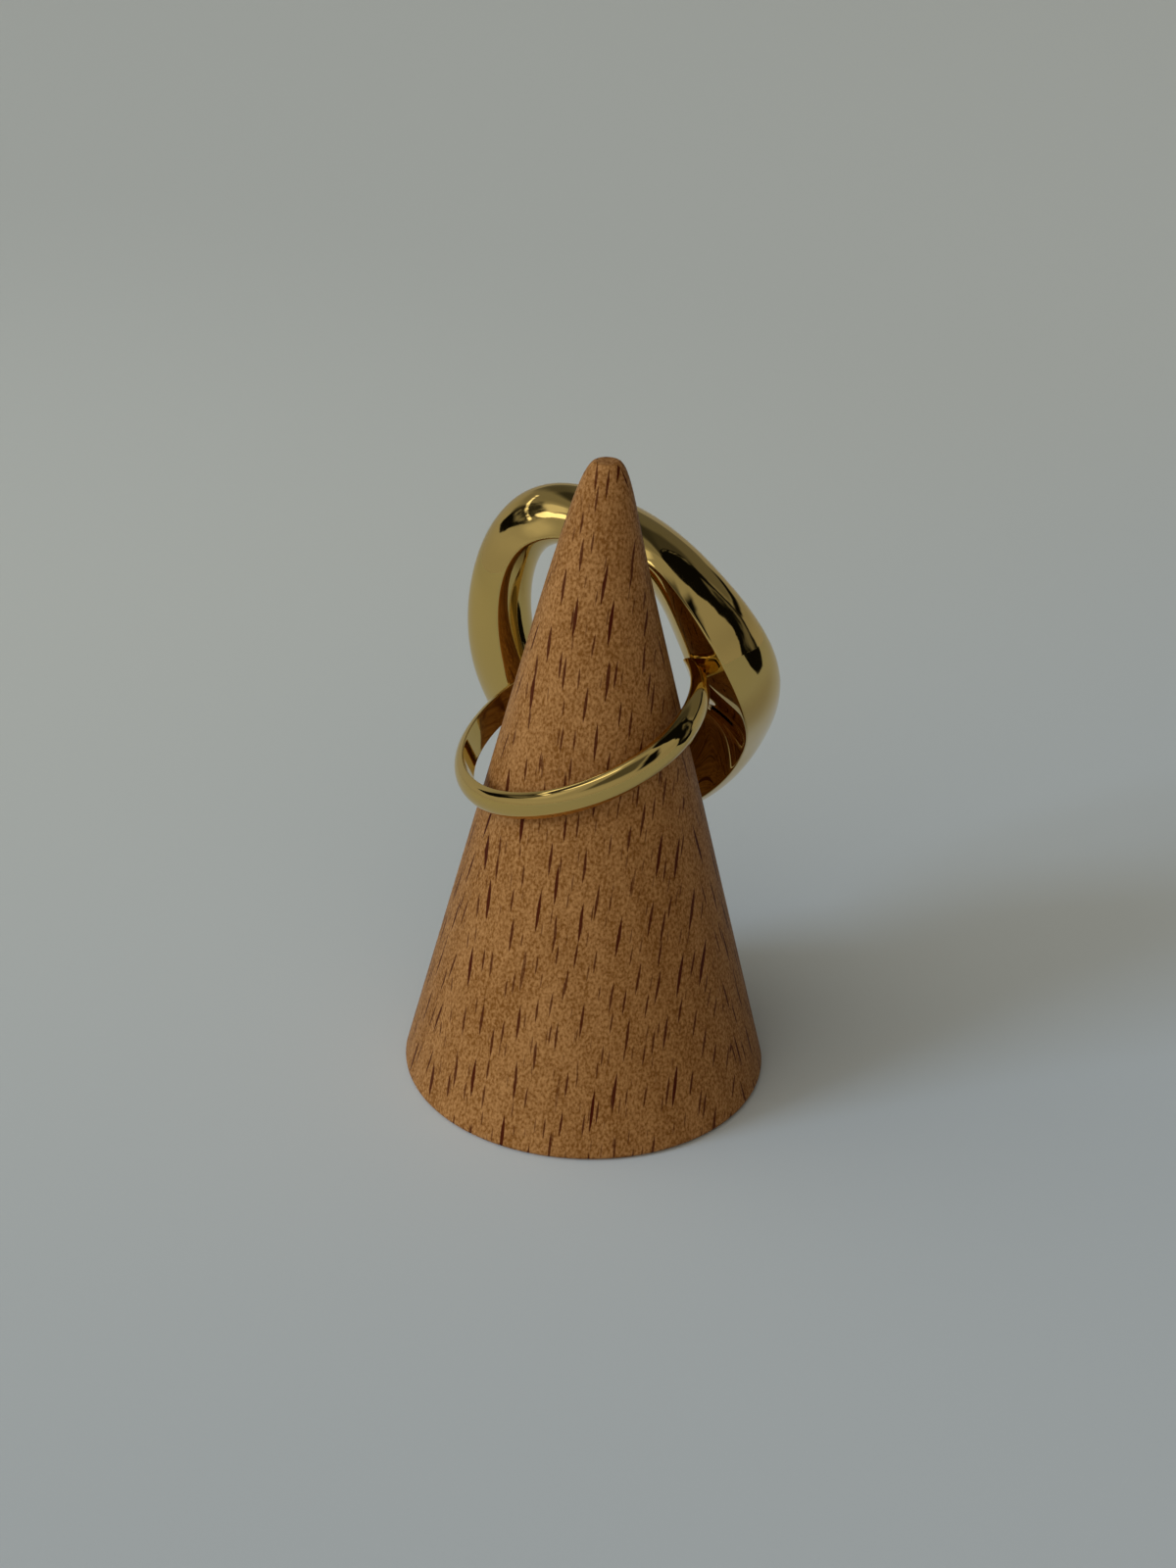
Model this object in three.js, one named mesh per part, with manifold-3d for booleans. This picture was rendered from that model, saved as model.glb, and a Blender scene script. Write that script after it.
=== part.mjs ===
import * as THREE from "three";
import { mergeVertices } from "three/addons/utils/BufferGeometryUtils.js";
import Module from "manifold-3d";

// A cast ring with an open sculptural head, seated on a plain wooden cone.
// Lengths are in millimetres, +Z is up, and the origin is the centre of the cone's base.

// The cone
const standRadius = 14;
const standHeight = 49;
const standSideAngle = 14.36; // degrees from the cone's axis
const standEdge = 0.25; // eased edge round the base
const tipRound = 3.6; // height over which the tip turns in
const tipFlatRadius = 0.8;

// The finger hole and the half-round band
const fingerRadius = 8.85;
const bandWidth = 2.25;
const bandThickness = 1.05;
const bandRightEnd = 46; // degrees from the middle of the head
const bandLeftEnd = 58;

// The head: a limb of D section that runs round a large opening
const rimLength = 26; // of the sharp rim, along the finger
const rimOverhang = 1.15; // of the sharp rim past the finger hole on each side
const headOffsetAcross = 0.3;
const headOffsetAlong = -1.5;
const wallWidth = 5; // inner wall, from the sharp rim to the opening
const limbDepth = 4.5; // rounded outside above the inner wall

// How the ring sits on the cone
const leanSide = 22.4; // degrees towards -X
const leanFront = 6.7; // degrees towards -Y
const headTurn = 27; // degrees from straight back towards +X
const seatClearance = 0.3;
const seatSide = -0.13; // sideways place, as a share of the finger hole's radius

// Sections at equal turns round the opening, from its fingertip end towards the right.
// reach: sharp rim from the middle, share of half the rim's length and width
// lift: sharp rim from the finger's axis, share of the finger hole's radius
// wall, bulge: shares of wallWidth and limbDepth
// lean: the inner wall's angle in degrees, 0 facing the finger and 90 facing the opening
// push: how far the bulge leans over the wall, share of its width
// crown: how far the inner wall swells towards the finger, share of its width
const limbSections = [
  { reach: 0.84, lift: 1.04, wall: 0.99, lean: 48, bulge: 0.92, push: 0.25, crown: 0.1 },
  { reach: 0.89, lift: 0.99, wall: 0.97, lean: 27, bulge: 0.91, push: 0.1, crown: 0.1 },
  { reach: 0.99, lift: 0.64, wall: 0.92, lean: 22, bulge: 1.08, push: -0.04, crown: 0.12 },
  { reach: 0.98, lift: 0.57, wall: 0.92, lean: 23, bulge: 1.27, push: -0.15, crown: 0.04 },
  { reach: 0.86, lift: 0.89, wall: 1.05, lean: 13, bulge: 1.24, push: -0.22, crown: -0.02 },
  { reach: 0.86, lift: 1.22, wall: 0.96, lean: 10, bulge: 1.05, push: -0.29, crown: -0.21 },
  { reach: 1.04, lift: 1.19, wall: 1, lean: 12, bulge: 0.85, push: -0.38, crown: 0.15 },
  { reach: 1.18, lift: 0.77, wall: 0.95, lean: 43, bulge: 0.89, push: -0.14, crown: 0.05 },
  { reach: 0.92, lift: 0.43, wall: 0.86, lean: 56, bulge: 1.04, push: -0.14, crown: 0.14 },
  { reach: 0.8, lift: 0.42, wall: 0.81, lean: 75, bulge: 1.15, push: -0.11, crown: 0.18 },
  { reach: 0.93, lift: 0.55, wall: 0.85, lean: 82, bulge: 0.97, push: 0.04, crown: 0.18 },
  { reach: 1.15, lift: 0.94, wall: 0.94, lean: 71, bulge: 0.84, push: 0.24, crown: 0.14 },
];

// Fineness of the meshes
const limbSteps = 72;
const bulgeSteps = 16;
const wallSteps = 8;
const bandSteps = 44;
const bandArcSteps = 10;
const standSides = 72;
const tipSteps = 6;
const seatSteps = 60; // rounds in which the seat is worked out

const gold = new THREE.MeshStandardMaterial({ color: 0xd8b56a, roughness: 0.08, metalness: 1 });
const beech = new THREE.MeshStandardMaterial({ color: 0xb98258, roughness: 0.55, metalness: 0 });

const radians = THREE.MathUtils.degToRad;
const taper = Math.tan(radians(standSideAngle));

const wasm = await Module();
wasm.setup();

// Smooth value of one column at a turn from 0 to 1, by a closed cubic B-spline over the rows.
function columnAt(column, turn) {
  const place = turn * limbSections.length;
  const row = Math.floor(place);
  const f = place - row;
  const weights = [
    (1 - f) ** 3,
    3 * f ** 3 - 6 * f ** 2 + 4,
    -3 * f ** 3 + 3 * f ** 2 + 3 * f + 1,
    f ** 3,
  ];
  return weights.reduce((sum, weight, step) => {
    const near = (row + step - 1 + limbSections.length) % limbSections.length;
    return sum + (weight / 6) * limbSections[near][column];
  }, 0);
}

// One closed D section. In the ring's own frame X is across the finger, Y points out of
// the finger through the head, and Z runs along the finger.
function limbSection(turn) {
  const at = (column) => columnAt(column, turn);
  const angle = turn * 2 * Math.PI;
  const along = new THREE.Vector3(
    (fingerRadius + rimOverhang) * Math.sin(angle),
    0,
    (rimLength / 2) * Math.cos(angle),
  );
  const outward = along.clone().normalize();
  const rim = along.multiplyScalar(at("reach"));
  rim.add(new THREE.Vector3(headOffsetAcross, at("lift") * fingerRadius, headOffsetAlong));

  const lean = radians(at("lean"));
  const up = new THREE.Vector3(0, 1, 0);
  const wallWay = outward.clone().multiplyScalar(-Math.cos(lean)).addScaledVector(up, Math.sin(lean));
  const bulgeWay = outward.clone().multiplyScalar(Math.sin(lean)).addScaledVector(up, Math.cos(lean));
  const width = at("wall") * wallWidth;
  const depth = at("bulge") * limbDepth;
  const point = (x, y) => rim.clone().addScaledVector(wallWay, x).addScaledVector(bulgeWay, y);

  const points = [];
  for (let i = 0; i < bulgeSteps; i++) {
    const share = i / bulgeSteps;
    const swell = Math.sin(Math.PI * share);
    const x = width * ((1 - Math.cos(Math.PI * share)) / 2 + at("push") * swell);
    points.push(point(x, depth * swell ** 0.9));
  }
  for (let i = 0; i < wallSteps; i++) {
    const share = 1 - i / wallSteps;
    points.push(point(width * share, -4 * at("crown") * width * share * (1 - share)));
  }
  return points;
}

// One closed half-round section of the band, flat towards the finger.
function bandSection(angle) {
  const point = (radius, z) =>
    new THREE.Vector3(radius * Math.sin(angle), radius * Math.cos(angle), z);
  const points = [];
  for (let i = 0; i <= bandArcSteps; i++) {
    const arc = (Math.PI * i) / bandArcSteps;
    points.push(
      point(fingerRadius + bandThickness * Math.sin(arc), (bandWidth / 2) * Math.cos(arc)),
    );
  }
  return points;
}

// A skin over a row of sections, closed on itself or capped at both ends.
function loft(sections, closed) {
  const count = sections[0].length;
  const positions = sections.flat().flatMap((p) => p.toArray());
  const index = [];
  const rings = closed ? sections.length : sections.length - 1;
  for (let i = 0; i < rings; i++) {
    const here = i * count;
    const next = ((i + 1) % sections.length) * count;
    for (let j = 0; j < count; j++) {
      const k = (j + 1) % count;
      index.push(here + j, next + j, next + k, here + j, next + k, here + k);
    }
  }
  const last = (sections.length - 1) * count;
  for (let j = 1; !closed && j < count - 1; j++) {
    index.push(0, j, j + 1, last, last + j + 1, last + j);
  }
  const geometry = new THREE.BufferGeometry();
  geometry.setAttribute("position", new THREE.Float32BufferAttribute(positions, 3));
  geometry.setIndex(index);
  return geometry;
}

function solidOf(geometry) {
  const merged = mergeVertices(geometry);
  const mesh = new wasm.Mesh({
    numProp: 3,
    vertProperties: new Float32Array(merged.attributes.position.array),
    triVerts: new Uint32Array(merged.index.array),
  });
  return new wasm.Manifold(mesh);
}

function geometryOf(solid) {
  const mesh = solid.getMesh();
  const geometry = new THREE.BufferGeometry();
  geometry.setAttribute("position", new THREE.BufferAttribute(mesh.vertProperties, 3));
  geometry.setIndex(new THREE.BufferAttribute(mesh.triVerts, 1));
  geometry.computeVertexNormals();
  return geometry;
}

function makeRing() {
  const limb = [];
  for (let i = 0; i < limbSteps; i++) {
    limb.push(limbSection(i / limbSteps));
  }
  const band = [];
  const start = radians(bandRightEnd);
  const sweep = 2 * Math.PI - start - radians(bandLeftEnd);
  for (let i = 0; i <= bandSteps; i++) {
    band.push(bandSection(start + (sweep * i) / bandSteps));
  }
  const head = solidOf(loft(limb, true));
  const shank = solidOf(loft(band, false));
  const mesh = new THREE.Mesh(geometryOf(head.add(shank)), gold);
  mesh.name = "ring";
  return mesh;
}

// The ring leans on the cone in front with its band and behind with the end of its head:
// its height and its setback are worked out so that both keep the seat clearance.
function seatRing(ring) {
  const finger = new THREE.Vector3(
    -Math.tan(radians(leanSide)),
    -Math.tan(radians(leanFront)),
    1,
  ).normalize();
  const back = new THREE.Vector3(0, 1, 0).addScaledVector(finger, -finger.y).normalize();
  const side = new THREE.Vector3().crossVectors(back, finger);
  const out = back.multiplyScalar(Math.cos(radians(headTurn)));
  out.addScaledVector(side, Math.sin(radians(headTurn)));
  const across = new THREE.Vector3().crossVectors(out, finger);
  ring.setRotationFromMatrix(new THREE.Matrix4().makeBasis(across, out, finger));

  const setback = new THREE.Vector3(out.x, out.y, 0).normalize();
  const sideways = new THREE.Vector3(setback.y, -setback.x, 0);
  const vertices = ring.geometry.attributes.position;
  const front = [];
  const behind = [];
  for (let i = 0; i < vertices.count; i++) {
    const point = new THREE.Vector3().fromBufferAttribute(vertices, i);
    const list = point.y < 0 ? front : behind;
    list.push(point.applyQuaternion(ring.quaternion));
  }
  const place = sideways.multiplyScalar(seatSide * fingerRadius).setZ(standHeight / 2);
  const gapTo = (points) =>
    points.reduce((least, p) => {
      const coneRadius = Math.max(standRadius - taper * (p.z + place.z), 0);
      const gap = Math.hypot(p.x + place.x, p.y + place.y) - coneRadius;
      return Math.min(least, gap * Math.cos(radians(standSideAngle)));
    }, Infinity);
  for (let i = 0; i < seatSteps; i++) {
    const frontGap = gapTo(front);
    const backGap = gapTo(behind);
    place.addScaledVector(setback, (frontGap - backGap) / 2);
    place.z += (seatClearance - (frontGap + backGap) / 2) / Math.sin(radians(standSideAngle)) / 2;
  }
  ring.position.copy(place);
}

function makeStand() {
  const sideAt = (z) => standRadius - taper * z;
  const tipStart = standHeight - tipRound;
  const tip = new THREE.QuadraticBezierCurve(
    new THREE.Vector2(sideAt(tipStart), tipStart),
    new THREE.Vector2(sideAt(standHeight), standHeight),
    new THREE.Vector2(tipFlatRadius, standHeight),
  );
  const profile = [
    new THREE.Vector2(0, 0),
    new THREE.Vector2(standRadius - standEdge, 0),
    new THREE.Vector2(sideAt(standEdge), standEdge),
    ...tip.getPoints(tipSteps),
    new THREE.Vector2(0, standHeight),
  ];
  const lathe = new THREE.LatheGeometry(profile, standSides);
  lathe.rotateX(Math.PI / 2);
  lathe.deleteAttribute("normal");
  lathe.deleteAttribute("uv");
  const mesh = new THREE.Mesh(geometryOf(solidOf(lathe)), beech);
  mesh.name = "cone_stand";
  return mesh;
}

const ring = makeRing();
seatRing(ring);

const ringOnStand = new THREE.Group();
ringOnStand.add(makeStand(), ring);

export default ringOnStand;
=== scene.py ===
import math

import bpy
import numpy as np
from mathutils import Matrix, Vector


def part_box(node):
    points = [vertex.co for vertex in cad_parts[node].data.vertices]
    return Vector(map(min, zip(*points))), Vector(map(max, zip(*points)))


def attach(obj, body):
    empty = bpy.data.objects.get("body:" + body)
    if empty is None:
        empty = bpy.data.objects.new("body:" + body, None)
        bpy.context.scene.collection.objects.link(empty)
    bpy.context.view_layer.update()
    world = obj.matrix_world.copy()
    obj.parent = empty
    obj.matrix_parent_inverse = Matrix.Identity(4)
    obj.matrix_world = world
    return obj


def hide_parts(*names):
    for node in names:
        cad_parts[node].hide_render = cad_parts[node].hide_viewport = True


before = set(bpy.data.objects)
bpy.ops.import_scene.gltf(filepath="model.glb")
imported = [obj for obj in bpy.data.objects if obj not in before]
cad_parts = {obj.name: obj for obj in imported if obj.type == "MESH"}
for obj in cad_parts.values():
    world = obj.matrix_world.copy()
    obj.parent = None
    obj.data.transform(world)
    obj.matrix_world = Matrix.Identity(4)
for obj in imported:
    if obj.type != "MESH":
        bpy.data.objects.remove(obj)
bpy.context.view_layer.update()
mm = 0.001
fullTurn = 2 * math.pi
print("frame loaded")


# Shader graphs and meshes

class Value:
    # wraps a socket, so that shader maths reads as plain expressions
    def __init__(self, graph, socket):
        self.graph = graph
        self.socket = socket

    def __add__(self, other):
        return self.graph.maths("ADD", self, other)

    def __radd__(self, other):
        return self.graph.maths("ADD", other, self)

    def __sub__(self, other):
        return self.graph.maths("SUBTRACT", self, other)

    def __rsub__(self, other):
        return self.graph.maths("SUBTRACT", other, self)

    def __mul__(self, other):
        return self.graph.maths("MULTIPLY", self, other)

    def __rmul__(self, other):
        return self.graph.maths("MULTIPLY", other, self)

    def __truediv__(self, other):
        return self.graph.maths("DIVIDE", self, other)

    def __rtruediv__(self, other):
        return self.graph.maths("DIVIDE", other, self)

    def __pow__(self, other):
        return self.graph.maths("POWER", self, other)

    def __rpow__(self, other):
        return self.graph.maths("POWER", other, self)

    def __abs__(self):
        return self.graph.maths("ABSOLUTE", self)


class Graph:
    # one material or world and its nodes
    def __init__(self, owner):
        self.owner = owner
        owner.use_nodes = True
        self.tree = owner.node_tree
        self.tree.nodes.clear()

    def node(self, kind, settings=None, inputs=None, out=0):
        made = self.tree.nodes.new(kind)
        for name, value in (settings or {}).items():
            setattr(made, name, value)
        for name, value in (inputs or {}).items():
            if isinstance(value, Value):
                self.tree.links.new(value.socket, made.inputs[name])
            else:
                made.inputs[name].default_value = value
        return Value(self, made.outputs[out])

    def maths(self, operation, first, second=0.0):
        return self.node("ShaderNodeMath", {"operation": operation}, {0: first, 1: second})

    def vector(self, operation, first, second=(0, 0, 0), out=0):
        return self.node("ShaderNodeVectorMath", {"operation": operation}, {0: first, 1: second}, out)

    def combine(self, x, y, z):
        return self.node("ShaderNodeCombineXYZ", None, {"X": x, "Y": y, "Z": z})

    def split(self, vector):
        made = self.node("ShaderNodeSeparateXYZ", None, {0: vector})
        return [Value(self, socket) for socket in made.socket.node.outputs]

    def blend(self, share, first, second):
        return self.node("ShaderNodeMix", {"data_type": "RGBA"}, {0: share, 6: first, 7: second}, out=2)

    def ease(self, value, low, high):
        settings = {"interpolation_type": "SMOOTHSTEP"}
        return self.node("ShaderNodeMapRange", settings, {"Value": value, "From Min": low, "From Max": high})

    def span(self, value, low, high, soft):
        # 1 between low and high, with soft edges
        return self.ease(value, low - soft, low + soft) * (1.0 - self.ease(value, high - soft, high + soft))

    def larger(self, first, second):
        return self.maths("MAXIMUM", first, second)

    def noise(self, place, scale, detail):
        inputs = {"Vector": place, "Scale": scale, "Detail": detail}
        return self.node("ShaderNodeTexNoise", None, inputs, "Fac")

    def finish(self, kind, shader):
        end = self.tree.nodes.new(kind)
        self.tree.links.new(shader.socket, end.inputs["Surface"])


def newMaterial(name):
    return Graph(bpy.data.materials.new(name))


def newPiece(name, vertices, faces, material, crease=None):
    mesh = bpy.data.meshes.new(name)
    mesh.from_pydata([tuple(v) for v in vertices], [], faces)
    mesh.validate()
    mesh.shade_smooth()
    mesh.materials.append(material)
    piece = bpy.data.objects.new(name, mesh)
    bpy.context.scene.collection.objects.link(piece)
    if crease:
        mesh.set_sharp_from_angle(angle=math.radians(crease))
    return piece


def carry(piece, node):
    # every piece here rests in the one body and stands for one CAD node
    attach(piece, "root")
    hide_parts(node)


def gridFaces(rows, columns, closedRows):
    # quads between rows of points, each row closed on itself
    faces = []
    for i in range(rows if closedRows else rows - 1):
        here, beyond = i * columns, (i + 1) % rows * columns
        for j in range(columns):
            k = (j + 1) % columns
            faces.append((here + j, beyond + j, beyond + k, here + k))
    return faces


def spunMesh(profile, sides, facesInwards=False):
    # turns a profile of radius and height round the axis, closed wherever its radius is 0
    vertices, faces, starts = [], [], []
    for radius, z in profile:
        starts.append(len(vertices))
        angles = [fullTurn * j / sides for j in range(sides if radius else 1)]
        vertices += [(radius * math.cos(a), radius * math.sin(a), z) for a in angles]
    for i, (a, b) in enumerate(zip(starts, starts[1:])):
        for j in range(sides):
            k = (j + 1) % sides
            if profile[i][0] == 0:
                face = (a, b + k, b + j)
            elif profile[i + 1][0] == 0:
                face = (a + j, a + k, b)
            else:
                face = (a + j, a + k, b + k, b + j)
            faces.append(face[::-1] if facesInwards else face)
    return vertices, faces


# The ring

ringSize = {
    "fingerRadius": 8.85,  # millimetres, as every length here
    "bandWidth": 2.25,
    "bandThickness": 1.05,
    "bandRightEnd": 46,  # degrees from the middle of the head
    "bandLeftEnd": 58,
    "rimLength": 26,
    "rimOverhang": 1.15,
    "headOffsetAcross": 0.3,
    "headOffsetAlong": -1.5,
    "wallWidth": 5,
    "limbDepth": 4.5,
    "limbFullness": 0.9,  # below 1 the bulge has fuller shoulders
    "leanSide": 22.4,
    "leanFront": 6.7,
    "headTurn": 27,
    "edgeRound": 0.11,  # softness of the polished edges
    "bandEdgeRound": 0.066,
    "waver": 0.012,  # unevenness that hand polishing leaves
}

# reach, lift, wall, lean, bulge, push, crown of the limb's sections, at equal turns round the opening
limbRows = np.array([
    (0.84, 1.04, 0.99, 48, 0.92, 0.25, 0.10),
    (0.89, 0.99, 0.97, 27, 0.91, 0.10, 0.10),
    (0.99, 0.64, 0.92, 22, 1.08, -0.04, 0.12),
    (0.98, 0.57, 0.92, 23, 1.27, -0.15, 0.04),
    (0.86, 0.89, 1.05, 13, 1.24, -0.22, -0.02),
    (0.86, 1.22, 0.96, 10, 1.05, -0.29, -0.21),
    (1.04, 1.19, 1.00, 12, 0.85, -0.38, 0.15),
    (1.18, 0.77, 0.95, 43, 0.89, -0.14, 0.05),
    (0.92, 0.43, 0.86, 56, 1.04, -0.14, 0.14),
    (0.80, 0.42, 0.81, 75, 1.15, -0.11, 0.18),
    (0.93, 0.55, 0.85, 82, 0.97, 0.04, 0.18),
    (1.15, 0.94, 0.94, 71, 0.84, 0.24, 0.14),
])

ringMesh = {
    "turns": 420,
    "bulge": 74,
    "wall": 40,
    "bandTurns": 300,
    "bandArc": 40,
    "bandFlat": 22,
    "bulgeSamples": 300,  # points on the outlines before they are eased
    "wallSamples": 120,
    "arcSamples": 160,
    "flatSamples": 80,
    "easedSamples": 1024,
    "crowding": 0.9,
}


def limbValues(turn):
    place = turn * len(limbRows)
    row = int(place)
    f = place - row
    weights = ((1 - f) ** 3, 3 * f ** 3 - 6 * f ** 2 + 4, -3 * f ** 3 + 3 * f ** 2 + 3 * f + 1, f ** 3)
    return sum(w / 6 * limbRows[(row + i - 1) % len(limbRows)] for i, w in enumerate(weights))


def stepLengths(points):
    return np.linalg.norm(np.diff(np.vstack([points, points[:1]]), axis=0), axis=1)


def softOutline(points, shares, soft):
    # evenly spaced copy of a closed outline, its corners eased, then read at the wanted shares
    loop = np.vstack([points, points[:1]])
    length = np.concatenate([[0], np.cumsum(stepLengths(points))])
    count = ringMesh["easedSamples"]
    even = np.linspace(0, length[-1], count, endpoint=False)
    dense = np.stack([np.interp(even, length, loop[:, i]) for i in range(loop.shape[1])], 1)
    waves = np.fft.fftfreq(count, length[-1] / count)
    damp = np.exp(-2 * (math.pi * waves * soft) ** 2)[:, None]
    dense = np.fft.ifft(np.fft.fft(dense, axis=0) * damp, axis=0).real
    dense = np.vstack([dense, dense[:1]])
    even = np.append(even, length[-1])
    wanted = np.asarray(shares) * length[-1]
    return np.stack([np.interp(wanted, even, dense[:, i]) for i in range(dense.shape[1])], 1)


def crowdedShares(points, corner, before, after):
    # shares round an outline with corners at its first and at its numbered point, closer together near both
    step = stepLengths(points)
    cornerShare = step[:corner].sum() / step.sum()

    def run(count):
        t = np.arange(count) / count
        return t - ringMesh["crowding"] * np.sin(fullTurn * t) / fullTurn
    return np.concatenate([cornerShare * run(before), cornerShare + (1 - cornerShare) * run(after)])


def limbSection(turn):
    size = ringSize
    reach, lift, wall, lean, bulge, push, crown = limbValues(turn)
    angle = turn * fullTurn
    along = np.array([(size["fingerRadius"] + size["rimOverhang"]) * math.sin(angle), 0,
                      size["rimLength"] / 2 * math.cos(angle)])
    outward = along / np.linalg.norm(along)
    rim = along * reach + [size["headOffsetAcross"], lift * size["fingerRadius"], size["headOffsetAlong"]]
    lean = math.radians(lean)
    up = np.array([0, 1, 0])
    wallWay = -math.cos(lean) * outward + math.sin(lean) * up
    bulgeWay = math.sin(lean) * outward + math.cos(lean) * up
    width, depth = wall * size["wallWidth"], bulge * size["limbDepth"]
    share = np.linspace(0, 1, ringMesh["bulgeSamples"], endpoint=False)
    swell = np.sin(math.pi * share)
    outside = np.stack([width * ((1 - np.cos(math.pi * share)) / 2 + push * swell),
                        depth * swell ** size["limbFullness"]], 1)
    share = 1 - np.linspace(0, 1, ringMesh["wallSamples"], endpoint=False)
    inside = np.stack([width * share, -4 * crown * width * share * (1 - share)], 1)
    flat = np.vstack([outside, inside])
    shares = crowdedShares(flat, ringMesh["bulgeSamples"], ringMesh["bulge"], ringMesh["wall"])
    flat = softOutline(flat, shares, size["edgeRound"])
    return rim + flat[:, :1] * wallWay + flat[:, 1:] * bulgeWay


def bandSection(angle):
    size = ringSize
    arc = np.linspace(0, math.pi, ringMesh["arcSamples"])
    flat = np.stack([size["fingerRadius"] + size["bandThickness"] * np.sin(arc),
                     size["bandWidth"] / 2 * np.cos(arc)], 1)
    back = np.linspace(-1, 1, ringMesh["flatSamples"])[1:-1] * size["bandWidth"] / 2
    flat = np.vstack([flat, np.stack([np.full(back.shape, size["fingerRadius"]), back], 1)])
    shares = crowdedShares(flat, ringMesh["arcSamples"] - 1, ringMesh["bandArc"], ringMesh["bandFlat"])
    flat = softOutline(flat, shares, size["bandEdgeRound"])
    return np.stack([flat[:, 0] * math.sin(angle), flat[:, 0] * math.cos(angle), flat[:, 1]], 1)


def ringTurn():
    # the three directions of the ring's own frame, as it leans on the cone
    finger = np.array([-math.tan(math.radians(ringSize["leanSide"])),
                       -math.tan(math.radians(ringSize["leanFront"])), 1])
    finger /= np.linalg.norm(finger)
    back = np.array([0, 1, 0]) - finger * finger[1]
    back /= np.linalg.norm(back)
    side = np.cross(back, finger)
    turn = math.radians(ringSize["headTurn"])
    out = back * math.cos(turn) + side * math.sin(turn)
    return np.stack([np.cross(out, finger), out, finger])


def unevenness(points):
    # sum of four slow waves in different directions, from -1 to 1
    rows = np.array([(0.9, 0.4, 0.5), (-0.5, 1.0, 0.7), (0.6, -0.8, 1.1), (1.3, 0.7, -0.9)])
    phases = np.array([0.3, 1.9, 4.1, 2.6])
    return np.sin(points @ rows.T + phases).sum(1, keepdims=True) / 4


def makeRing(goldMaterial):
    turn = ringTurn()
    low, high = (np.array(corner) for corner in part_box("ring"))
    head = np.stack([limbSection(i / ringMesh["turns"]) for i in range(ringMesh["turns"])])
    start = math.radians(ringSize["bandRightEnd"])
    sweep = fullTurn - start - math.radians(ringSize["bandLeftEnd"])
    steps = ringMesh["bandTurns"]
    band = np.stack([bandSection(start + sweep * i / (steps - 1)) for i in range(steps)])

    rows, columns = head.shape[:2]
    centres = head.mean(1, keepdims=True)
    outwards = (head - centres) / np.linalg.norm(head - centres, axis=2, keepdims=True)
    head = head.reshape(-1, 3)
    head = head + outwards.reshape(-1, 3) * unevenness(head) * ringSize["waver"]
    bandRows, bandColumns = band.shape[:2]
    band = band.reshape(-1, 3)

    # the middle of the finished ring lies where the middle of the CAD ring lies
    both = np.vstack([head, band]) @ turn
    shift = (low + high) / 2 / mm - (both.min(0) + both.max(0)) / 2
    head, band = (head @ turn + shift) * mm, (band @ turn + shift) * mm
    headPiece = newPiece("ringHead", head, gridFaces(rows, columns, True), goldMaterial)
    faces = gridFaces(bandRows, bandColumns, False)
    faces.append(tuple(range(bandColumns)))
    faces.append(tuple((bandRows - 1) * bandColumns + j for j in reversed(range(bandColumns))))
    bandPiece = newPiece("ringBand", band, faces, goldMaterial, crease=50)
    for piece in (headPiece, bandPiece):
        carry(piece, "ring")


# The cone

coneSize = {
    "radius": 14,
    "height": 49,
    "sideAngle": 14.36,
    "edge": 0.45,
    "baseInsets": (0.4, 0.1),  # rings of the flat underside, in from where its edge starts to round
    "tipRound": 3.6,
    "tipFlat": 0.8,
    "tipDrift": 0.35,  # the tip is turned a little off its axis
    "driftStart": 36,
    "sides": 256,
    "edgeSteps": 6,
    "sideStart": 0.15,  # from the eased edge to the first row of the side
    "sideRows": 60,
    "tipRows": 14,
    "tipMiddle": 0.6,  # share of the tip's flat radius at which its inner ring lies
}


def makeCone(woodMaterial):
    size = coneSize
    height, edge = size["height"], size["edge"]
    taper = math.tan(math.radians(size["sideAngle"]))
    sideAt = lambda z: size["radius"] - taper * z
    tipStart = height - size["tipRound"]
    first = np.array([sideAt(tipStart), tipStart])
    pull = np.array([sideAt(height), height])
    last = np.array([size["tipFlat"], height])
    base = sideAt(edge) - edge
    profile = [(0, 0)] + [(base - inset, 0) for inset in size["baseInsets"]]
    for i in range(size["edgeSteps"] + 1):  # eased base edge
        turn = math.pi / 2 * i / size["edgeSteps"]
        profile.append((base + edge * math.sin(turn), edge * (1 - math.cos(turn))))
    sideHeights = np.linspace(edge + size["sideStart"], tipStart, size["sideRows"])[:-1]
    profile += [(sideAt(z), z) for z in sideHeights]
    profile += [tuple((1 - t) ** 2 * first + 2 * t * (1 - t) * pull + t * t * last)
                for t in np.linspace(0, 1, size["tipRows"])]
    profile += [(size["tipFlat"] * size["tipMiddle"], height), (0, height)]

    vertices, faces = spunMesh(profile, size["sides"])
    vertices = np.array(vertices, float)
    drift = np.clip((vertices[:, 2] - size["driftStart"]) / (height - size["driftStart"]), 0, 1) ** 2
    vertices[:, 0] += drift * size["tipDrift"]
    cone = newPiece("coneStand", vertices * mm, faces, woodMaterial, crease=40)
    carry(cone, "cone_stand")


# The materials

goldLook = {
    "colour": (0.68, 0.47, 0.15, 1),
    "roughness": 0.035,
    "scuff": 0.04,
    "scuffScale": 420.0,
}


def makeGold():
    g = newMaterial("polishedGold")
    place = g.node("ShaderNodeTexCoord", None, None, "Object")
    smear = g.ease(g.noise(place, goldLook["scuffScale"], 3.0), 0.45, 0.75)
    shader = g.node("ShaderNodeBsdfPrincipled", None, {
        "Base Color": goldLook["colour"],
        "Metallic": 1.0,
        "Roughness": smear * goldLook["scuff"] + goldLook["roughness"],
    })
    g.finish("ShaderNodeOutputMaterial", shader)
    return g.owner


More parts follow.
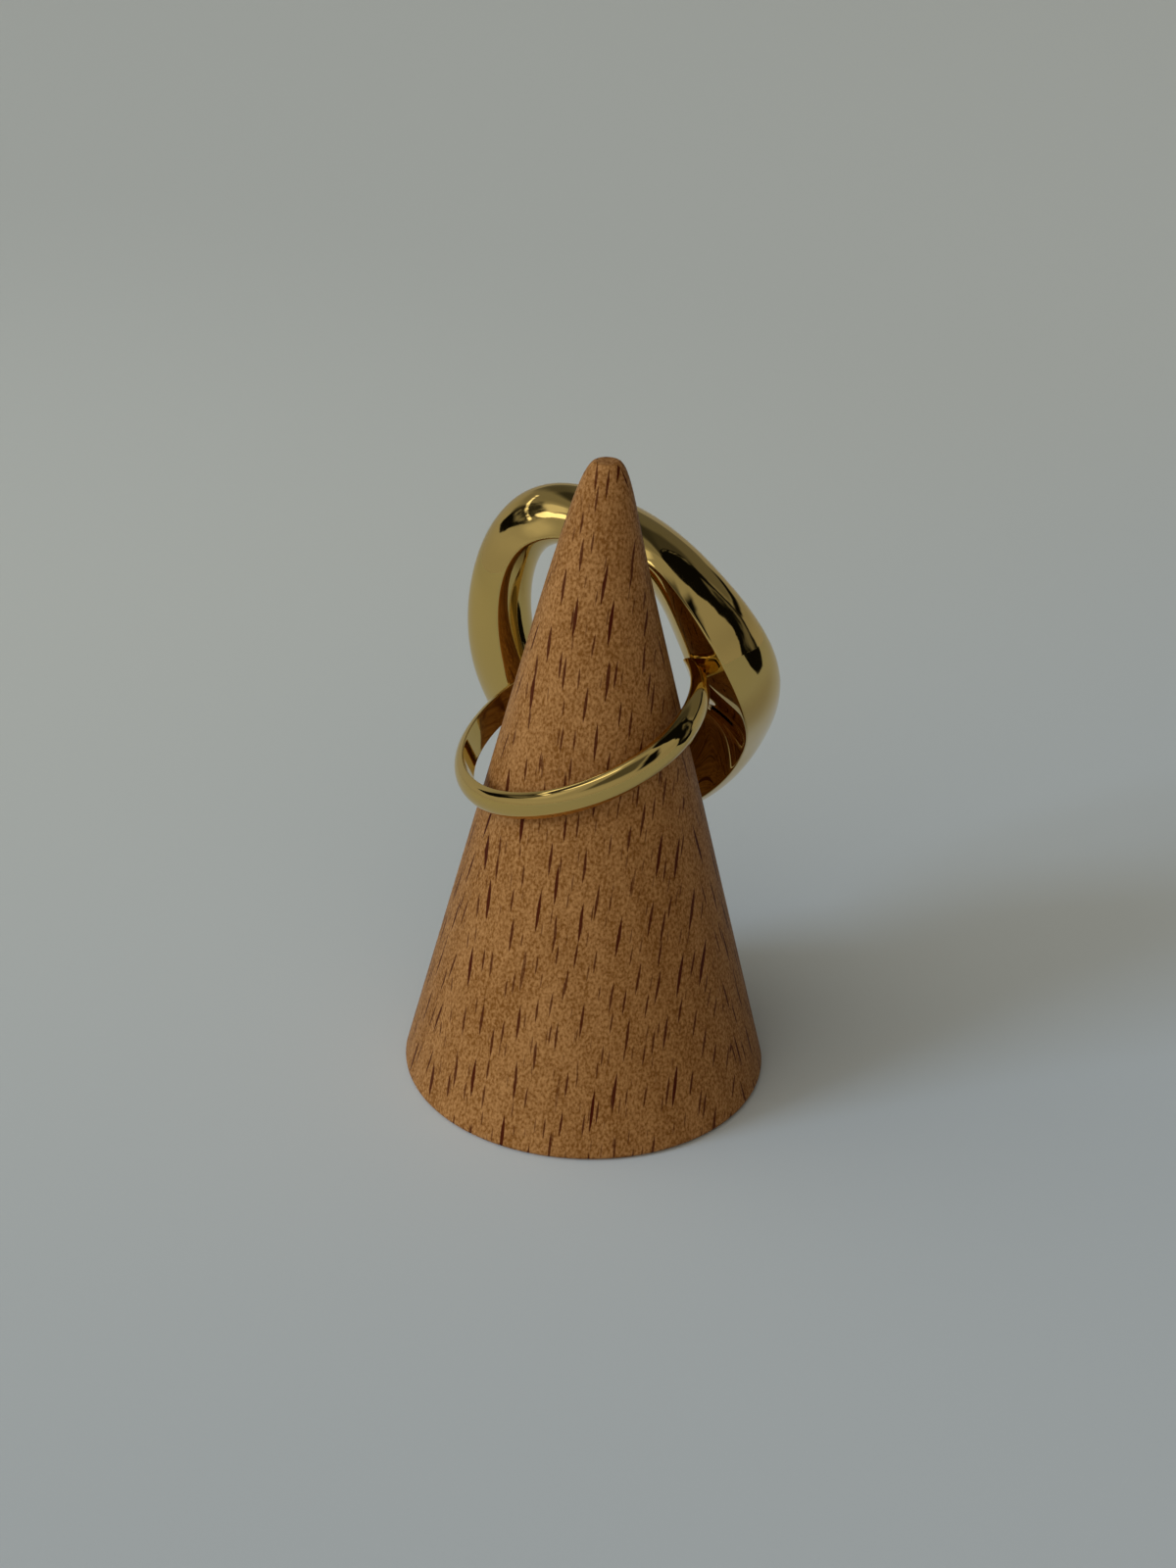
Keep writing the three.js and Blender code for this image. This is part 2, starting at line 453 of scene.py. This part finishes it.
woodLook = {
    "pale": (0.462, 0.213, 0.072, 1),
    "warm": (0.200, 0.069, 0.011, 1),
    "fleck": (0.060, 0.006, 0.0004, 1),
    "middle": 0.38,  # tone between pale and warm before the four shares below
    "patches": 0.24,
    "growthRings": 0.055,
    "fibres": 0.35,
    "mottle": 1.9,
    "specks": 0.16,
    "lean": 5.5,  # degrees the grain leans
    "bend": 1.6,  # millimetres it swings to the side
    "wander": 0.16,  # millimetres each fleck strays from its line
    "growthPace": 2.3,  # radians of a growth ring per millimetre
    "sideFaces": 1.8,  # slope of the line where a side of the cone takes over from its front or back
    "bumpStrength": 0.35,
    "bumpDepth": 0.00005,
    "roughness": 0.5,
    "unevenRoughness": 0.2,
    "sheen": 0.06,
}

# changes per millimetre across and along the grain, and detail, of each kind of noise in the wood
woodNoise = {
    "bend": (0.05, 0.03, 1.0),
    "growth": (0.09, 0.02, 2.0),
    "patches": (0.16, 0.06, 1.0),
    "fibres": (4.5, 0.9, 2.0),
    "mottle": (5.4, 3.8, 2.0),
    "wander": (0.45, 0.35, 2.0),
    "specks": (7.0, 3.0, 2.0),
}

# shift, cell, half width and half length in millimetres, share of the cells that hold a fleck, strength
fleckSizes = [
    ((0.0, 0.0), (1.55, 4.2), 0.155, 1.8, 0.92, 1.0),
    ((40.3, 3.1), (1.35, 3.3), 0.105, 1.1, 0.72, 0.9),
    ((80.7, 7.7), (0.95, 2.3), 0.075, 0.75, 0.5, 0.6),
]


def fleckMask(g, x, z, cell, halfWidth, halfLength, keepShare):
    # upright spindles, at most one in each cell of a grid whose columns are shifted at random
    cellWidth, cellHeight = cell
    column = g.maths("FLOOR", x / cellWidth)
    shift = g.node("ShaderNodeTexWhiteNoise", {"noise_dimensions": "1D"},
                   {"W": column + 0.37 * cellHeight}, "Value")
    high = z / cellHeight + shift
    row = g.maths("FLOOR", high)
    dice = g.node("ShaderNodeTexWhiteNoise", {"noise_dimensions": "3D"},
                  {"Vector": g.combine(column, row, 10.0 * cellWidth)}, "Color")
    side, rise, size = g.split(dice)
    width = halfWidth * (0.5 + 0.5 * size)
    length = halfLength * (0.4 + 0.6 * size ** 0.7)
    roomAcross, roomAlong = 1.0 - 2.0 * halfWidth / cellWidth, 1.0 - 2.0 * halfLength / cellHeight
    awayX = (x / cellWidth - column - 0.5 + (side - 0.5) * roomAcross) * cellWidth
    awayZ = (high - row - 0.5 + (rise - 0.5) * roomAlong) * cellHeight
    body = 1.0 - (awayZ / length) ** 2.0 - abs(awayX) / width
    draw = size * 7.0
    keep = g.ease(draw - g.maths("FLOOR", draw), 1.0 - keepShare, 1.02 - keepShare)
    return g.ease(body, 0.0, 0.3) * keep * (0.75 + 0.25 * size)


def makeWood():
    look = woodLook
    g = newMaterial("satinBeech")
    objectPlace = g.node("ShaderNodeTexCoord", None, None, "Object")
    place = g.node("ShaderNodeMapping", {"vector_type": "POINT"}, {
        "Vector": objectPlace,
        "Rotation": (0.0, math.radians(-look["lean"]), 0.0),
        "Scale": (1000.0, 1000.0, 1000.0),
    })
    x, y, z = g.split(place)

    def grainNoise(kind):
        across, along, detail = woodNoise[kind]
        return g.noise(g.combine(x * across, y * across, z * along), 1.0, detail)

    # slow bend of the grain
    x = x + (grainNoise("bend") - 0.5) * look["bend"]

    # growth rings, upright sheets that the cone cuts into arches
    growth = g.maths("SINE", (y + 0.35 * x + grainNoise("growth") * 9.0) * look["growthPace"])
    fibres = grainNoise("fibres")
    mottle = grainNoise("mottle")
    tone = (grainNoise("patches") * look["patches"] + look["middle"] + growth * look["growthRings"]
            + (fibres - 0.5) * look["fibres"] + (mottle - 0.5) * look["mottle"])
    base = g.blend(g.ease(tone, 0.0, 1.0), look["pale"], look["warm"])

    # across the grain: along x on the cone's front and back, along y on its sides
    trueX, trueY, _ = g.split(objectPlace)
    sideways = g.maths("GREATER_THAN", abs(trueX), abs(trueY) * look["sideFaces"])
    acrossGrain = x * (1.0 - sideways) + (y + 60.0) * sideways + (grainNoise("wander") - 0.5) * look["wander"]
    flecks = g.ease(grainNoise("specks"), 0.56, 0.74) * look["specks"]
    for shift, cell, halfWidth, halfLength, keepShare, strength in fleckSizes:
        mask = fleckMask(g, acrossGrain + shift[0], z + shift[1], cell, halfWidth, halfLength, keepShare)
        flecks = g.larger(flecks, mask * strength)

    height = (1.0 - flecks) * 0.6 + fibres * 0.25 + mottle * 0.15
    bump = g.node("ShaderNodeBump", None, {
        "Strength": look["bumpStrength"],
        "Distance": look["bumpDepth"],
        "Height": height,
    }, "Normal")
    shader = g.node("ShaderNodeBsdfPrincipled", None, {
        "Base Color": g.blend(flecks, base, look["fleck"]),
        "Roughness": (mottle - 0.5) * look["unevenRoughness"] + look["roughness"],
        "Specular IOR Level": look["sheen"],
        "Normal": bump,
    })
    g.finish("ShaderNodeOutputMaterial", shader)
    return g.owner


makeRing(makeGold())
print("ring made")
makeCone(makeWood())
print("cone made")


# The floor, light and camera

stageLook = {
    "paperCool": (0.596, 0.603, 0.620, 1),
    "paperWarm": (0.640, 0.622, 0.588, 1),
    "paintedLightPool": 0.12,  # painted light: the paper's colour is a little paler towards the window, a painted pool of window light
    "paintedPoolPlace": (-0.105, 0.075, 0.0),
    "paintedPoolReach": (0.02, 0.20),
    "tintSlant": 0.8,  # the paper's tint changes along y less this share of x
    "tintReach": (-0.06, 0.14),
    "paperTooth": 2500.0,
    "toothStrength": 0.05,
    "toothDepth": 0.0001,
    "paperRoughness": 0.75,
    "floorMiddle": 0.02,
    "floorRadius": 0.9,
    "rimRadius": 2.3,
    "rimHeight": 0.3,
    "flatRings": 12,
    "riseRings": 15,
    "floorSides": 96,
    "worldBright": (1.15, 1.165, 1.02, 1),
    "worldDim": (0.040, 0.039, 0.032, 1),
    "worldWay": (0.7, 0.6, -0.2),  # direction in which the world grows dim
    "worldReach": (-1.0, 0.2),
    "keyPower": 163.0,
    "keyColour": (0.54, 0.75, 1.0),
    "keyPlace": (-5.36, -2.24, 2.88),
    "keySize": (1.9, 1.7),
}


def makeFloor():
    look = stageLook
    g = newMaterial("palePaper")
    place = g.node("ShaderNodeTexCoord", None, None, "Object")
    tooth = g.noise(place, look["paperTooth"], 2.0)
    bump = g.node("ShaderNodeBump", None, {
        "Strength": look["toothStrength"],
        "Distance": look["toothDepth"],
        "Height": tooth,
    }, "Normal")
    x, y, _ = g.split(place)
    tint = g.ease(y - look["tintSlant"] * x, *look["tintReach"])
    colour = g.blend(tint, look["paperCool"], look["paperWarm"])
    # painted pool of window light: the paper's colour grows paler near one point
    away = g.vector("DISTANCE", place, look["paintedPoolPlace"], "Value")
    pale = (1.0 - g.ease(away, *look["paintedPoolReach"])) * look["paintedLightPool"] + 1.0
    shader = g.node("ShaderNodeBsdfPrincipled", None, {
        "Base Color": g.vector("MULTIPLY", colour, g.combine(pale, pale, pale)),
        "Roughness": look["paperRoughness"],
        "Normal": bump,
    })
    g.finish("ShaderNodeOutputMaterial", shader)

    # flat, then rising gently like a sheet of backdrop paper
    flat, rim = look["floorRadius"], look["rimRadius"]
    middle, rings = look["floorMiddle"], look["flatRings"]
    profile = [(0, 0)] + [(middle + (flat - middle) * i / rings, 0) for i in range(rings + 1)]
    profile += [(flat + (rim - flat) * t, look["rimHeight"] * t * t)
                for t in np.linspace(0, 1, look["riseRings"] + 1)[1:]]
    vertices, faces = spunMesh(profile, look["floorSides"], facesInwards=True)
    newPiece("paperSweep", vertices, faces, g.owner)


def makeWindowLight():
    data = bpy.data.lights.new("windowLight", "AREA")
    data.shape = "RECTANGLE"
    data.size, data.size_y = stageLook["keySize"]
    data.energy = stageLook["keyPower"]
    data.color = stageLook["keyColour"]
    light = bpy.data.objects.new("windowLight", data)
    light.location = stageLook["keyPlace"]
    way = Vector((0, 0, 0.02)) - light.location
    light.rotation_euler = way.to_track_quat("-Z", "Y").to_euler()
    light.visible_camera = False
    light.visible_glossy = False
    bpy.context.scene.collection.objects.link(light)


def makeWorld():
    world = bpy.data.worlds.new("softRoom")
    bpy.context.scene.world = world
    g = Graph(world)
    place = g.node("ShaderNodeTexCoord", None, None, "Generated")
    side = g.vector("DOT_PRODUCT", place, stageLook["worldWay"], "Value")
    colour = g.blend(g.ease(side, *stageLook["worldReach"]), stageLook["worldBright"], stageLook["worldDim"])
    light = g.node("ShaderNodeBackground", None, {"Color": colour, "Strength": 1.0})
    g.finish("ShaderNodeOutputWorld", light)


# painted reflections: a glowing dome seen only in reflections, painted with what the polished metal mirrors
# above the floor: pale paper, a dim room and a window
roomReflectionLook = {
    "radius": 0.6,
    "rows": 24,
    "sides": 48,
    "centre": (0.003, 0.006, 0.029),
    "tint": (0.98, 1.0, 0.98),
    "paper": 0.34,
    "paperSlope": 0.07,  # how much brighter the paper is towards the window
    "floorSlope": 0.02,
    "wall": 0.13,
    "wallTopDim": 0.6,
    "upperDim": 0.35,
    "frontDim": 0.75,
    "dimRoom": 0.03,
    "dimRoomPatches": 0.22,
    "innerStrands": 0.13,
    "glow": 0.22,
    "gleam": 0.45,
    "window": 1.7,
    "black": 0.004,
    # scale, detail and width in degrees of the noise that bends the patches
    "aroundSway": (5.0, 4.0, 8.0),
    "heightSway": (6.0, 4.0, 7.0),
    "shadeHeight": 0.0004,
    # bearing in degrees and distance of the corners of the painted dark reflection's sheet
    "shadeCorners": [(81, 0.090), (90, 0.141), (95.5, 0.343), (97, 0.592), (76, 0.592), (76, 0.120)],
}

# low end, high end and softness in degrees of each patch of the painted reflections: bearing (0 behind, 90
# right) and height
patchPlace = {
    "wallBearing": (-25.0, 78.0, 8.0),
    "innerStrands": (4.0, 14.0, 2.0),
    "strandBearing": (42.0, 82.0, 5.0),
    "strandHeight": (21.0, 29.0, 2.0),
    "farDarkBearing": (128.0, 147.0, 4.0),
    "farDarkHeight": (18.0, 62.0, 6.0),
    "roomBearing": (-103.0, -60.0, 5.0),
    "roomHeight": (29.0, 60.0, 3.0),
    "upperBearing": (-60.0, 0.0, 8.0),
    "glowBearing": (-124.0, -100.0, 8.0),
    "glowHeight": (30.0, 54.0, 8.0),
    "gleamBearing": (-96.0, -70.0, 4.0),
    "gleamHeight": (62.0, 78.0, 3.0),
    "windowSlant": (-47.5, -31.0, 1.5),
    "windowHeight": (51.0, 74.0, 2.0),
    "stripBearing": (-97.0, -42.0, 2.0),
    "stripHeight": (41.0, 44.0, 1.0),
    "frontRight": (152.0, 200.0, 6.0),
    "frontLeft": (-200.0, -152.0, 6.0),
    "frontHeight": (32.0, 75.0, 6.0),
}


def makeRoomReflection():
    look = roomReflectionLook
    g = newMaterial("paintedRoomReflection")
    # painted reflections: this dome glows but lights nothing, and it is seen only in reflections
    place = g.node("ShaderNodeTexCoord", None, None, "Object")
    way = g.vector("NORMALIZE", g.vector("SUBTRACT", place, look["centre"]))
    x, y, z = g.split(way)
    degrees = 180 / math.pi

    def sway(at, name):
        scale, detail, width = look[name]
        return (g.noise(at, scale, detail) - 0.5) * width

    around = g.maths("ARCTAN2", x, y) * degrees + sway(way, "aroundSway")
    height = g.maths("ARCSINE", z) * degrees + sway(g.vector("ADD", way, (5, 5, 5)), "heightSway")

    def patch(value, name):
        return g.span(value, *patchPlace[name])

    # right: painted reflections of paper, then a dim wall, a dark strand and the black side of the room with
    # its curved edge
    grain = g.noise(g.combine(around * 0.045, height * 0.012, 0.0), 2.2, 4.0)
    rough = g.noise(g.combine(around * 0.10, height * 0.05, 7.0), 1.0, 4.0)
    behind = patch(around, "wallBearing")
    wall = behind * g.ease(height, 24.0, 30.0)
    slope = g.ease(height, 0.0, 14.0) * (look["paperSlope"] - look["floorSlope"]) + look["floorSlope"]
    low = slope * (-0.83 * x - 0.55 * y) * (1.0 - g.ease(height, 14.0, 34.0))
    light = (look["paper"] + low) * (1.0 - wall) + look["wall"] * wall
    light = light * (1.0 - look["wallTopDim"] * g.ease(height, 54.0, 62.0) * behind)
    rightEdge = 99.0 + 0.005 * height * height
    leftEdge = 78.5 - 0.05 * g.larger(height - 40.0, 0.0) ** 2.0
    side = g.ease(around - leftEdge, -1.5, 1.5) * (1.0 - g.ease(around - rightEdge, -0.8, 0.8))
    inner = g.ease(grain, 0.44, 0.62) * patch(around - leftEdge, "innerStrands") * look["innerStrands"]
    strand = patch(around, "strandBearing") * patch(height + 0.1 * (around - 40.0), "strandHeight")
    farDark = patch(around, "farDarkBearing") * patch(height, "farDarkHeight")
    light = light * (1.0 - g.larger(g.larger(side, strand), farDark)) + side * inner

    # left: painted reflections of a window, a soft glow under it, and a dark wedge with a dim room over it
    slant = around + height
    room = patch(around, "roomBearing") * patch(height, "roomHeight") * g.ease(slant, -62.0, -56.0)
    roomLight = look["dimRoom"] + look["dimRoomPatches"] * g.ease(rough, 0.46, 0.66)
    light = light * (1.0 - room) + room * roomLight
    wedge = g.ease(slant, -62.5, -60.5) * g.ease(height, 15.0, 16.5) * (1.0 - g.ease(around, -64.5, -62.0))
    wedge = wedge * (1.0 - g.ease(height - 0.4 * g.larger(-80.0 - around, 0.0), 29.0, 34.0))
    light = light * (1.0 - wedge)
    light = light * (1.0 - look["upperDim"] * (patch(around, "upperBearing") * g.ease(height, 28.0, 40.0)))
    glow = patch(around, "glowBearing") * patch(height, "glowHeight")
    gleam = patch(around, "gleamBearing") * patch(height, "gleamHeight")
    light = light + look["glow"] * glow + look["gleam"] * gleam
    window = patch(slant, "windowSlant") * patch(height, "windowHeight")
    window = window * (1.0 - g.ease(around, -94.0, -90.0))
    strip = patch(around, "stripBearing") * patch(height - 0.1 * (around + 97.0), "stripHeight")
    light = light + g.larger(window, strip * g.ease(rough, 0.40, 0.52)) * look["window"]

    # front: a dimmer painted stretch of the room
    front = (patch(around, "frontRight") + patch(around, "frontLeft")) * patch(height, "frontHeight")
    light = light * (1.0 - look["frontDim"] * front) + look["black"]
    red, green, blue = look["tint"]
    shine = g.node("ShaderNodeEmission", None,
                   {"Color": g.combine(light * red, light * green, light * blue)}, "Emission")
    g.finish("ShaderNodeOutputMaterial", shine)

    rises = [math.pi / 2 * i / look["rows"] for i in range(look["rows"])]
    profile = [(look["radius"] * math.cos(rise), look["radius"] * math.sin(rise)) for rise in rises]
    vertices, faces = spunMesh(profile + [(0, look["radius"])], look["sides"], facesInwards=True)
    mirrorOnly(newPiece("paintedRoomReflection", vertices, faces, g.owner))


def makeDarkReflection():
    # painted dark reflection: a dark sheet to the right, lying just above the paper, seen only in reflections
    g = newMaterial("paintedDarkReflection")
    dark = roomReflectionLook["black"]
    shine = g.node("ShaderNodeEmission", None, {"Color": (dark, dark, dark, 1)}, "Emission")
    g.finish("ShaderNodeOutputMaterial", shine)
    vertices = []
    for bearing, distance in roomReflectionLook["shadeCorners"]:
        turn = math.radians(bearing)
        vertices.append((distance * math.sin(turn), distance * math.cos(turn), roomReflectionLook["shadeHeight"]))
    faces = [tuple(reversed(range(len(vertices))))]
    mirrorOnly(newPiece("paintedDarkReflection", vertices, faces, g.owner))


def mirrorOnly(thing):
    # seen in the polished metal alone
    thing.visible_camera = False
    thing.visible_diffuse = False
    thing.visible_transmission = False
    thing.visible_volume_scatter = False
    thing.visible_shadow = False


cameraLook = {
    "elevation": 27.76,
    "roll": -1.74,
    "distance": 0.1732,
    "aim": (-0.00030, 0.0, 0.0239),
    "lens": 54.0,
}


def makeCamera():
    data = bpy.data.cameras.new("photoCamera")
    data.lens = cameraLook["lens"]
    data.sensor_width = 36.0
    data.clip_start = 0.005
    data.clip_end = 20.0
    camera = bpy.data.objects.new("photoCamera", data)
    up = math.radians(cameraLook["elevation"])
    aim = Vector(cameraLook["aim"])
    camera.location = aim + Vector((0, -math.cos(up), math.sin(up))) * cameraLook["distance"]
    camera.rotation_euler = (math.pi / 2 - up, 0.0, 0.0)
    camera.rotation_euler.rotate_axis("Z", math.radians(-cameraLook["roll"]))
    bpy.context.scene.collection.objects.link(camera)
    bpy.context.scene.camera = camera


makeFloor()
makeWorld()
makeRoomReflection()
makeDarkReflection()
makeWindowLight()
makeCamera()
bpy.context.scene.view_settings.view_transform = "Standard"
print("stage, light and camera made")
